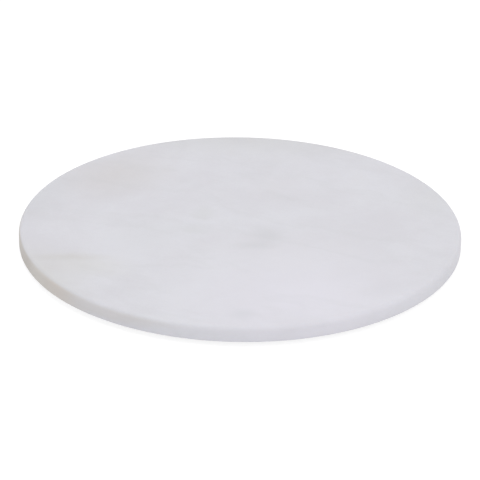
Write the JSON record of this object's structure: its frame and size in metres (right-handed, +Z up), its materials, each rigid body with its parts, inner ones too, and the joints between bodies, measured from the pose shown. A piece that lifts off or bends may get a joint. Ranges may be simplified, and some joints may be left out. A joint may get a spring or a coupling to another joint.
{
  "type": "round marble cutting board",
  "caption": "Round board of honed white marble with a rounded upper edge, standing on small bonded rubber feet; a flat, cool surface for cutting, rolling and serving.",
  "frame": {"origin": "on the counter that the feet stand on, straight below the middle of the board", "axes": "+Z up, square to the cutting face; +X to the right and +Y to the back as in the picture, with the first foot on +X"},
  "size_m": [0.35, 0.35, 0.016],
  "materials": {
    "marble": "satin",
    "foot_rubber": "matte",
    "adhesive": "satin"
  },
  "bodies": {
    "root": {"marble_slab": "marble", "rubber_foot_1": "foot_rubber", "rubber_foot_2": "foot_rubber", "rubber_foot_3": "foot_rubber", "rubber_foot_4": "foot_rubber", "rubber_foot_5": "foot_rubber", "rubber_foot_6": "foot_rubber", "adhesive_disc_1": "adhesive", "adhesive_disc_2": "adhesive", "adhesive_disc_3": "adhesive", "adhesive_disc_4": "adhesive", "adhesive_disc_5": "adhesive", "adhesive_disc_6": "adhesive"}
  },
  "joints": []
}
